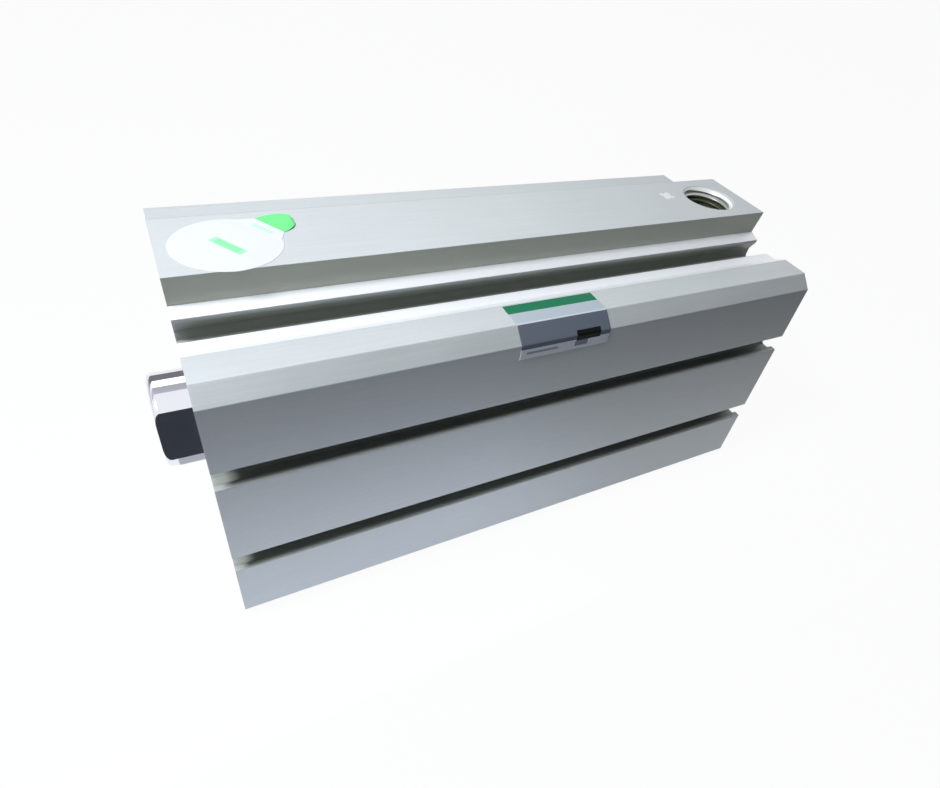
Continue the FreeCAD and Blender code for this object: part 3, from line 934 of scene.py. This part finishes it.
@dataclass
class Barrel:
    """The extruded barrel with its two pipe ports and eight corner threads.

    Attributes:
        port_pitch_mm: pitch of the quarter-inch pipe thread.
        port_taper: its loss of radius with depth.
        port_mouth_mm: radius of the ports' countersinks.
        port_corners: points across the ports' ridges.
        port_steps: points in one turn of them.
        port_start: where the ports' threads start, in turns, so that they run out into the countersink.
        port_lead_in_mm: depth of that start, less half a pitch.
        corner_pitch_mm: pitch of the corner threads.
        corner_depth_mm: length of the corner threads.
        corner_steps: points in one turn of them.
    """

    port_pitch_mm: float = 1.337
    port_taper: float = 1.0 / 32.0
    port_mouth_mm: float = 6.95
    port_corners: int = 20
    port_steps: int = 120
    port_start: float = 0.545
    port_lead_in_mm: float = -0.3
    corner_pitch_mm: float = 1.25
    corner_depth_mm: float = 16.0
    corner_steps: int = 36

    def dress(self) -> None:
        """Anodise the barrel."""
        dress_nodes({"cylinder_body": SATIN_ANODISED})

    def cut_threads(self) -> None:
        """Wind the ridges of the ports and of the corner holes."""
        for name in ("rod_port", "cap_port"):
            hole = mount(name)
            sizes = hole["dims"]
            axis = Vector(hole["axis"])
            top = Vector((*hole["pos_m"][:2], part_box("cylinder_body")[1].z))
            thread = ScrewThread(
                self.port_pitch_mm, sizes["r_mm"], sizes["length_mm"], self.port_lead_in_mm, self.port_taper,
                self.port_mouth_mm, self.port_corners, self.port_steps, self.port_start)
            self.add(name + "_thread", [thread.ridge(top, -axis)], TAPPED_PORT)
        for name in ("rod_end_bolts", "cap_end_bolts"):
            holes = mount(name)
            sizes = holes["dims"]
            axis = Vector(holes["axis"])
            thread = ScrewThread(
                self.corner_pitch_mm, sizes["hole_r_mm"], self.corner_depth_mm, steps=self.corner_steps)
            reach = Vector((0.0, sizes["spacing_x_mm"], sizes["spacing_y_mm"])) * MM / 2
            places = [Vector((0.0, reach.y * across, reach.z * up)) for across in (-1, 1) for up in (-1, 1)]
            middle = Vector(holes["pos_m"])
            ridges = [thread.ridge(middle + place, -axis) for place in places]
            self.add(name.replace("bolts", "threads"), ridges, TAPPED_ALUMINIUM)

    def add(self, name: str, ridges: list[tuple[np.ndarray, np.ndarray]], finish: Finish) -> None:
        """Join ridges into one piece on the barrel.

        Args:
            name: the piece's name.
            ridges: points and faces of each ridge.
            finish: its finish.
        """
        counts = np.cumsum([0] + [points.size // 3 for points, _ in ridges[:-1]])
        points = np.vstack([points.reshape(-1, 3) for points, _ in ridges])
        faces = np.vstack([faces + first for (_, faces), first in zip(ridges, counts)])
        piece = new_piece(name, points, faces, BARREL)
        dress(piece, finish)


@dataclass
class Covers:
    """Rod cover and cap cover with their seals, bush and retaining rings."""

    def dress(self) -> None:
        """Dress each piece that closes the barrel's ends."""
        dress_nodes({
            "rod_cover": TURNED_ALUMINIUM, "cap_cover": TURNED_ALUMINIUM,
            "rod_cover_o_ring": NITRILE_RUBBER, "cap_cover_o_ring": NITRILE_RUBBER,
            "rod_bush": ROLLED_BUSH, "rod_seal": NITRILE_RUBBER,
            "rod_retaining_ring": PHOSPHATED_STEEL, "cap_retaining_ring": PHOSPHATED_STEEL,
        })


@dataclass
class PistonAndRod:
    """The chromed rod with its tapped tip, and the magnetic piston on it.

    Attributes:
        tip_pitch_mm: pitch of the thread in the rod's tip.
        tip_steps: points in one turn of it.
    """

    tip_pitch_mm: float = 1.5
    tip_steps: int = 44

    def dress(self) -> None:
        """Dress the rod, the piston's halves and what the piston carries."""
        dress_nodes({
            "piston_rod": HARD_CHROME,
            "piston_rod_side": TURNED_ALUMINIUM, "piston_cap_side": TURNED_ALUMINIUM,
            "magnet_ring": BONDED_FERRITE, "piston_o_ring": NITRILE_RUBBER,
            "bumper_rod_side": CAST_URETHANE, "bumper_cap_side": CAST_URETHANE,
            "piston_seal": NITRILE_RUBBER, "wear_ring": MOULDED_ACETAL,
        })

    def cut_thread(self) -> None:
        """Wind the ridge of the thread in the rod's tip."""
        hole = mount("rod_end_thread")
        sizes = hole["dims"]
        axis = Vector(hole["axis"])
        mouth = Vector(hole["pos_m"]) + axis * sizes["length_mm"] * MM / 2
        thread = ScrewThread(self.tip_pitch_mm, sizes["r_mm"], sizes["length_mm"], steps=self.tip_steps)
        points, faces = thread.ridge(mouth, -axis)
        piece = new_piece("rod_tip_thread", points, faces, ROD)
        dress(piece, TAPPED_STEEL)


@dataclass
class PortSticker:
    """Round peel-off sticker over the rod-side port, with a lifted green tab.

    Attributes:
        middle_mm: middle of the disc along and across the barrel.
        half_mm: half the disc's length and width.
        film_mm: thickness of the film.
        dent_mm: sag of the film over the port's mouth.
        droop_mm: drop of the film's edge beyond the boss.
        root_mm: distance from the disc's middle to the start of the tab's white root.
        crease_mm: distance from the disc's middle to the tab's crease.
        tab_turn: direction of the tab from the disc's middle, in radians.
        tab_half_mm: half the tab's width at the rim and at the crease.
        tab_long_mm: length of the tab beyond the crease.
        tab_lean_mm: how far the tab's middle leans forward at the tip.
        blunt: width of the tip as a share of the tab's.
        lift_mm: height of the tab's tip above the boss.
        boss_half_mm: half the width of the boss.
        paper: colour of the film, as sRGB hex.
        bars: the pale green bar on the disc and its stronger middle.
        ghost: the pale patch of adhesive inside the crease.
    """

    middle_mm: tuple[float, float] = (11.62, -1.3)
    half_mm: tuple[float, float] = (9.58, 9.29)
    film_mm: float = 0.05
    dent_mm: float = 0.1
    droop_mm: float = 0.25
    root_mm: float = 7.4
    crease_mm: float = 10.05
    tab_turn: float = math.radians(33.5)
    tab_half_mm: tuple[float, float] = (5.6, 3.7)
    tab_long_mm: float = 4.55
    tab_lean_mm: float = 0.95
    blunt: float = 0.1
    lift_mm: float = 0.8
    boss_half_mm: float = 10.2
    paper: str = "#E1E3E6"
    bars: tuple[Patch, ...] = (
        Patch("#A6E6BC", middle_mm=(-0.2, -0.45), size_mm=(1.9, 7.5)),
        Patch("#8BE3A5", middle_mm=(-0.2, -0.45), size_mm=(1.4, 5.6)))
    ghost: Patch = Patch("#C8E9D6", middle_mm=(8.25, -0.1), size_mm=(1.2, 5.0))

    def middle(self) -> Vector:
        """Middle of the disc on the film's upper face."""
        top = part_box("cylinder_body")[1].z + self.film_mm * MM
        return Vector((self.middle_mm[0] * MM, self.middle_mm[1] * MM, top))

    def heights(self, x: np.ndarray, y: np.ndarray) -> np.ndarray:
        """Height of the film over the boss, in metres.

        The film sags over the port's mouth as a shallow bowl, one less the square of the distance
        over the mouth's radius. Past the boss's edge it drops with the square of the overhang.

        Args:
            x: places along the barrel.
            y: places across it.

        Returns:
            The heights.
        """
        port = mount("rod_port")
        mouth = port["dims"]["r_mm"] * MM
        away = np.hypot(x - port["pos_m"][0], y - port["pos_m"][1]) / mouth
        bowl = np.clip(1.0 - away * away, 0.0, 1.0)
        overhang = np.clip(-y / MM - self.boss_half_mm, 0.0, 1.0)
        return self.middle().z - MM * (self.dent_mm * bowl + self.droop_mm * overhang ** 2)

    def disc(self) -> None:
        """Make the white disc from a square grid pressed into an oval."""
        count = 49
        along, across = pressed_disc(count)
        middle = self.middle()
        x = middle.x + self.half_mm[0] * MM * along
        y = middle.y + self.half_mm[1] * MM * across
        points = np.stack([x, y, self.heights(x, y)], -1)
        piece = new_piece("port_sticker_disc", points, quads(count, count)[:, ::-1], BARREL)
        thicken(piece, self.film_mm)
        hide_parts("port_sticker")
        # Coated white paper of a sticker: bright and nearly matt.
        paper = PrintedFinish(
            "white_sticker_paper", self.paper, "#DDDFE2", rough=(0.5, 0.6), mark_mm=0.6, bump_mm=0.004,
            edge_mm=THIN_EDGE_MM, origin=(middle.x, middle.y), turn=self.tab_turn, patches=self.bars)
        dress(piece, paper)

    def tab(self) -> None:
        """Make the tab as a strip that rises from the disc's rim.

        The white root narrows in a straight line as far as the crease. With p from 0 at the crease to 1
        at the tip, the half width then follows the root of 1 - p p, as half an ellipse that leans
        forward and ends a little blunt. The height is the lift times p to the power 1.6. With w from 0
        in the middle to -1 at the front, the front curls down by the lift times p cubed and w squared.
        """
        count = 25
        bend = 1.6
        # The root lies on the disc and hides its rim.
        raised_mm = self.film_mm / 3
        s, w = np.meshgrid((crowded(count) + 1) / 2, crowded(count), indexing="ij")
        reach = self.root_mm + (self.crease_mm + self.tab_long_mm - self.root_mm) * s
        past = np.clip((reach - self.crease_mm) / self.tab_long_mm, 0.0, 1.0)
        round_tip = np.sqrt(np.maximum(1.0 - past * past, self.blunt ** 2))
        half = np.interp(reach, (self.root_mm, self.crease_mm), self.tab_half_mm) * round_tip
        aside = half * w - self.tab_lean_mm * past
        middle = self.middle()
        x = middle.x + MM * (reach * math.cos(self.tab_turn) - aside * math.sin(self.tab_turn))
        y = middle.y + MM * (reach * math.sin(self.tab_turn) + aside * math.cos(self.tab_turn))
        curl = self.lift_mm * past ** 3 * np.clip(-w, 0.0, 1.0) ** 2
        z = middle.z + MM * (raised_mm + self.lift_mm * past ** bend - curl)
        points = np.stack([x, y, z], -1)
        piece = new_piece("port_sticker_tab", points, quads(count, count)[:, ::-1], BARREL)
        thicken(piece, self.film_mm)
        # White reaches from the disc's middle to the crease, and past both sides of the tab.
        white = Patch(self.paper, (0.0, 0.0), (2.0 * self.crease_mm, 4.0 * self.half_mm[1]))
        # Fluorescent green film of a pull tab: flat and vivid.
        film = PrintedFinish(
            "green_pull_tab_film", "#6EE487", "#68DC80", rough=(0.45, 0.55), mark_mm=0.8, bump_mm=0.004,
            edge_mm=THIN_EDGE_MM, origin=(middle.x, middle.y), turn=self.tab_turn,
            patches=(white, self.ghost))
        dress(piece, film)


@dataclass
class NameLabel:
    """Film label wrapped over one bevelled edge of the barrel, with plain bands on it.

    Attributes:
        film_mm: thickness of the film.
        bend_mm: radius of the film where it goes over an edge.
        bevel_mm: width of the barrel's bevel along each side.
        green_mm: width of the green band.
        dark_reflection_over_mm: how far the slate band, a painted reflection, runs over the lower edge.
        box_left_mm: inset of the dark box from the label's left side.
        box_mm: length and width of the dark box.
        box_over: share of the box's width that hangs over the slate band's end.
        stub_mm: how far the grey stub under the box starts before it, and the stub's width.
        highlight_line_mm: how far the pale painted highlight reaches before and past the upper edge.
        rule_mm: distance of the grey rule from the panel's end, and its width.
        rule_left_mm: inset of the rule from the label's left side.
        rule_short_mm: how far the rule stops before the label's middle.
    """

    film_mm: float = 0.1
    bend_mm: float = 0.6
    bevel_mm: float = 3.0
    green_mm: float = 2.75
    dark_reflection_over_mm: float = 0.95
    box_left_mm: float = 12.9
    box_mm: tuple[float, float] = (5.9, 2.3)
    box_over: float = 0.125
    stub_mm: tuple[float, float] = (0.2, 1.3)
    highlight_line_mm: tuple[float, float] = (0.25, 0.1)
    rule_mm: tuple[float, float] = (0.75, 0.55)
    rule_left_mm: float = 1.4
    rule_short_mm: float = 2.0

    def build(self) -> None:
        """Carry the label's width along its wrapped path.

        The path's direction is an angle that grows from 0 to 45 degrees at the first edge and to
        90 degrees at the second, each over an arc of the bend's radius with its middle on the edge. The
        places are the running sums of that direction's cosine and sine.
        """
        low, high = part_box("name_label")
        long_mm = (high.x - low.x) / MM
        top_mm = (high.y - low.y) / MM - self.bevel_mm
        front_mm = (high.z - low.z) / MM - self.bevel_mm
        slope_mm = self.bevel_mm * math.sqrt(2)
        total_mm = top_mm + slope_mm + front_mm
        count = 161
        along = np.linspace(0.0, total_mm, count)
        arc = self.bend_mm * math.pi / 4
        first = np.clip((along - top_mm) / arc + 0.5, 0.0, 1.0)
        second = np.clip((along - top_mm - slope_mm) / arc + 0.5, 0.0, 1.0)
        angle = (first + second) * math.pi / 4
        middle = (angle[1:] + angle[:-1]) / 2
        step = np.diff(along)
        y = high.y / MM - np.concatenate([[0.0], np.cumsum(np.cos(middle) * step)])
        z = high.z / MM - np.concatenate([[0.0], np.cumsum(np.sin(middle) * step)])
        columns = 25
        across = (crowded(columns) + 1) / 2
        u, v = np.meshgrid(across, along / total_mm, indexing="xy")
        rows = [np.repeat(place[:, None], columns, 1) for place in (y, z)]
        points = np.stack([low.x / MM + long_mm * u, *rows], -1)
        faces = quads(count, columns)[:, ::-1]
        piece = new_piece("name_label_film", points * MM, faces, BARREL)
        layer = piece.data.uv_layers.new(name="unrolled")
        flat = np.stack([u, v], -1).reshape(-1, 2)
        order = np.empty(len(piece.data.loops), dtype=np.int32)
        piece.data.loops.foreach_get("vertex_index", order)
        layer.data.foreach_set("uv", flat[order].astype(np.float32).ravel())
        thicken(piece, self.film_mm)
        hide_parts("name_label")
        dress(piece, self.inked(long_mm, top_mm, slope_mm, total_mm))

    def inked(self, long_mm: float, top_mm: float, slope_mm: float, total_mm: float) -> PrintedFinish:
        """Lay out the plain bands in millimetres from the label's back left corner.

        Args:
            long_mm: the label's length along the barrel.
            top_mm: width of its upper face.
            slope_mm: width of its face on the bevel.
            total_mm: its whole unrolled width.

        Returns:
            The printed film.
        """

        def band(colour: str, start: float, end: float, left: float = 0.0, right: float = 0.0) -> Patch:
            """A rectangle from start to end across the label, set in from its sides."""
            size = (long_mm - left - right, end - start)
            return Patch(colour, ((left + long_mm - right) / 2, (start + end) / 2), size)

        box_long, box_wide = self.box_mm
        dark_reflection_end = top_mm + slope_mm + self.dark_reflection_over_mm
        box_end = dark_reflection_end + box_wide * self.box_over
        box_right = long_mm - self.box_left_mm - box_long
        stub_early, stub_wide = self.stub_mm
        highlight_start = top_mm - self.highlight_line_mm[0]
        highlight_end = top_mm + self.highlight_line_mm[1]
        rule_start = dark_reflection_end + self.rule_mm[0]
        rule_end = rule_start + self.rule_mm[1]
        rule_right = long_mm / 2 + self.rule_short_mm
        patches = (
            band("#04734E", 0.0, self.green_mm),
            band("#B4C0C8", self.green_mm, highlight_start),
            # Pale line over the upper edge: painted highlight where the film bends.
            band("#D3DAE0", highlight_start, highlight_end),
            # Slate band over the bevel and just past its lower edge: painted reflection of the dark
            # surroundings on the film.
            band("#6A717E", highlight_end, dark_reflection_end),
            band("#A9ADB6", rule_start, rule_end, self.rule_left_mm, rule_right),
            band("#8F949E", box_end, box_end + stub_wide, self.box_left_mm - stub_early,
                 box_right + box_long / 2),
            band("#0C0F12", box_end - box_wide, box_end, self.box_left_mm, box_right),
        )
        # Printed polyester film: smooth and a little shiny, with flat inks.
        return PrintedFinish(
            "printed_polyester_film", "#F6F7FB", "#EEF0F4", rough=(0.4, 0.5), mark_mm=0.8, bump_mm=0.003,
            edge_mm=THIN_EDGE_MM, gloss=0.2, sheet=Sheet.WRAPPED, spread_mm=(long_mm, total_mm),
            patches=patches)


@dataclass
class PaintDab:
    """Small four-pointed dab of white marking paint on the boss.

    Attributes:
        place_mm: middle of the dab along and across the barrel.
        reach_mm: distance from its middle to its points.
        waist: how much of that distance is lost between the points, halved.
        turn: direction of one point, in radians.
        high_mm: height of the paint.
        film_mm: thickness of its edge.
    """

    place_mm: tuple[float, float] = (117.85, 2.9)
    reach_mm: float = 2.1
    waist: float = 0.19
    turn: float = math.radians(-38.0)
    high_mm: float = 0.05
    film_mm: float = 0.01

    def build(self) -> None:
        """Make a low dome with four points from a square grid pressed into a disc.

        The reach in a direction is the full reach times one less the waist plus the waist times the
        cosine of four times the angle. The height is the paint's height times one less the distance
        squared.
        """
        count = 41
        tips = 4.0
        along, across = pressed_disc(count)
        angle = np.arctan2(across, along)
        distance = np.hypot(along, across)
        reach = self.reach_mm * distance * (1.0 - self.waist + self.waist * np.cos(tips * angle))
        x = self.place_mm[0] + reach * np.cos(angle + self.turn)
        y = self.place_mm[1] + reach * np.sin(angle + self.turn)
        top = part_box("cylinder_body")[1].z / MM
        z = top + self.film_mm + self.high_mm * (1.0 - np.minimum(distance, 1.0) ** 2)
        piece = new_piece("paint_dab", np.stack([x, y, z], -1) * MM, quads(count, count)[:, ::-1], BARREL)
        thicken(piece, self.film_mm)
        dress(piece, MARKING_PAINT)


@dataclass(frozen=True)
class SoftLamp:
    """A flat studio lamp.

    Attributes:
        name: the lamp's name.
        place: where it stands.
        aim: the point that it faces.
        size: its width and height.
        power: its power in watts.
        tint: its colour, as sRGB hex.
    """

    name: str
    place: tuple[float, float, float]
    aim: tuple[float, float, float]
    size: tuple[float, float]
    power: float
    tint: str = "#FFFFFF"

    def build(self) -> None:
        """Add the lamp to the scene."""
        data = bpy.data.lights.new(self.name, "AREA")
        data.shape = "RECTANGLE"
        data.size, data.size_y = self.size
        data.energy = self.power
        data.color = linear(self.tint)[:3]
        lamp = bpy.data.objects.new(self.name, data)
        lamp.visible_camera = False
        lamp.location = self.place
        lamp.rotation_euler = (Vector(self.aim) - Vector(self.place)).to_track_quat("-Z", "Y").to_euler()
        bpy.context.scene.collection.objects.link(lamp)


@dataclass(frozen=True)
class Card:
    """A flat card near the object, out of the camera's sight and without a shadow.

    Attributes:
        name: the card's name.
        ends: its two ends along the barrel.
        foot: its lower edge, across the barrel and up.
        head: its upper edge, across the barrel and up.
        finish: its finish.
        mirrored_only: whether it shows in reflections alone.
    """

    name: str
    ends: tuple[float, float]
    foot: tuple[float, float]
    head: tuple[float, float]
    finish: Finish
    mirrored_only: bool = False

    def build(self) -> None:
        """Lay an even grid between the two edges."""
        count = 5
        x, s = np.meshgrid(np.linspace(*self.ends, count), np.linspace(0.0, 1.0, count), indexing="ij")
        y, z = (low + (high - low) * s for low, high in zip(self.foot, self.head))
        card = new_piece(self.name, np.stack([x, y, z], -1), quads(count, count))
        card.visible_camera = False
        card.visible_diffuse = not self.mirrored_only
        card.visible_shadow = False
        dress(card, self.finish)


@dataclass
class Studio:
    """Camera, floor, cards, lamps and white surroundings.

    Attributes:
        image_px: size of the photograph.
        focal_px: focal length in the photograph's pixels.
        centre_px: where the optical axis meets the photograph.
        eye_mm: place of the camera.
        right: direction of the photograph's rows.
        down: direction of its columns.
        sensor_mm: width of the camera's sensor.
        near: nearest distance that the camera shows.
        ambient: strength of the surroundings for dull surfaces.
        floor_half: half the floor's side.
        floor_gap_mm: how far the floor lies below the barrel.
        cards: a dark one that leans back in front, as a dark room, and for the chrome to mirror two behind
            and one under the rod's tip, a painted shadow of the floor in the rod's reflection.
        lamps: a key above the rod's end, a broad weak lamp behind and a low cool one in front.
    """

    image_px: tuple[float, float] = (940.0, 788.0)
    focal_px: float = 618.9
    centre_px: tuple[float, float] = (517.7, 414.9)
    eye_mm: tuple[float, float, float] = (0.741, -110.438, 99.13)
    right: tuple[float, float, float] = (0.86749, -0.47089, 0.16041)
    down: tuple[float, float, float] = (-0.22128, -0.65407, -0.72335)
    sensor_mm: float = 36.0
    near: float = 0.01
    ambient: float = 0.1
    floor_half: float = 4.0
    floor_gap_mm: float = 0.05
    cards: tuple[Card, ...] = (
        Card("front_flag", ends=(-0.5, 0.7), foot=(-0.085, -0.032), head=(-0.2, 0.3), finish=FLAG_FELT),
        Card("dim_rod_card", ends=(-0.25, 0.03), foot=(0.06, 0.014), head=(0.06, 0.0475), finish=DIM_CARD,
             mirrored_only=True),
        Card("grey_rod_card", ends=(-0.25, 0.03), foot=(0.06, 0.096), head=(0.06, 0.234), finish=GREY_CARD,
             mirrored_only=True),
        # Seen only in reflections: a painted shadow of the floor under the rod's tip.
        Card("rod_shadow_card", ends=(-0.0062, 0.0), foot=(-0.02, -0.0318), head=(0.02, -0.0318),
             finish=GREY_CARD, mirrored_only=True))
    lamps: tuple[SoftLamp, ...] = (
        SoftLamp("key_lamp", place=(-0.13, -0.045, 0.27), aim=(0.05, 0.0, 0.02), size=(0.09, 0.09),
                 power=1.05, tint="#F6FAFF"),
        SoftLamp("broad_back_lamp", place=(0.10, 0.55, 0.60), aim=(0.05, 0.0, 0.02), size=(0.8, 0.5),
                 power=1.2, tint="#F4F8FF"),
        SoftLamp("low_front_lamp", place=(0.02, -0.06, -0.022), aim=(0.02, 0.0, -0.022), size=(0.12, 0.016),
                 power=0.006, tint="#DDE6FF"))

    def place_camera(self) -> None:
        """Stand the camera where the photograph was taken, shifted by the optical axis's offset."""
        width, height = self.image_px
        data = bpy.data.cameras.new("photograph_view")
        data.sensor_width = self.sensor_mm
        data.lens = self.sensor_mm * self.focal_px / width
        data.shift_x = (width / 2 - self.centre_px[0]) / width
        data.shift_y = (self.centre_px[1] - height / 2) / width
        data.clip_start = self.near
        right = Vector(self.right).normalized()
        back = right.cross(-Vector(self.down)).normalized()
        turn = Matrix((right, back.cross(right), back)).transposed().to_4x4()
        camera = bpy.data.objects.new("photograph_view", data)
        camera.matrix_world = Matrix.Translation(Vector(self.eye_mm) * MM) @ turn
        bpy.context.scene.collection.objects.link(camera)
        bpy.context.scene.camera = camera

    def lay_floor(self) -> None:
        """Lay a wide pale floor under the barrel: a flat grid at the object's lowest height."""
        count = 9
        side = np.linspace(-self.floor_half, self.floor_half, count)
        x, y = np.meshgrid(side, side, indexing="ij")
        z = np.full_like(x, cad_box[0].z - self.floor_gap_mm * MM)
        floor = new_piece("studio_floor", np.stack([x, y, z], -1), quads(count, count)[:, ::-1])
        dress(floor, PALE_CARD)

    def surround(self) -> None:
        """Make the surroundings white to the eye and in reflections, and softer for dull surfaces."""
        world = bpy.data.worlds.new("white_surroundings")
        world.use_nodes = True
        tree = world.node_tree
        tree.nodes.clear()
        strength = add_node(tree, "ShaderNodeMapRange", {0: seen_rays(tree), 3: self.ambient, 4: 1.0})
        sky = add_node(tree, "ShaderNodeBackground", {0: (1.0, 1.0, 1.0, 1.0), 1: strength.outputs[0]})
        add_node(tree, "ShaderNodeOutputWorld", {0: sky.outputs[0]})
        # The surroundings are one tone, so they need no map of where they are bright.
        world.cycles.sampling_method = "NONE"
        bpy.context.scene.world = world
        bpy.context.scene.view_settings.view_transform = "Standard"

    def build(self) -> None:
        """Set up the whole studio."""
        self.place_camera()
        self.lay_floor()
        for item in (*self.cards, *self.lamps):
            item.build()
        self.surround()


def main() -> None:
    """Build and dress every piece in order."""
    logging.basicConfig(level=logging.INFO, format="%(name)s: %(message)s")
    barrel = Barrel()
    barrel.dress()
    barrel.cut_threads()
    Covers().dress()
    rod = PistonAndRod()
    rod.dress()
    rod.cut_thread()
    sticker = PortSticker()
    sticker.disc()
    sticker.tab()
    NameLabel().build()
    PaintDab().build()
    Studio().build()


if __name__ == "__main__":
    main()
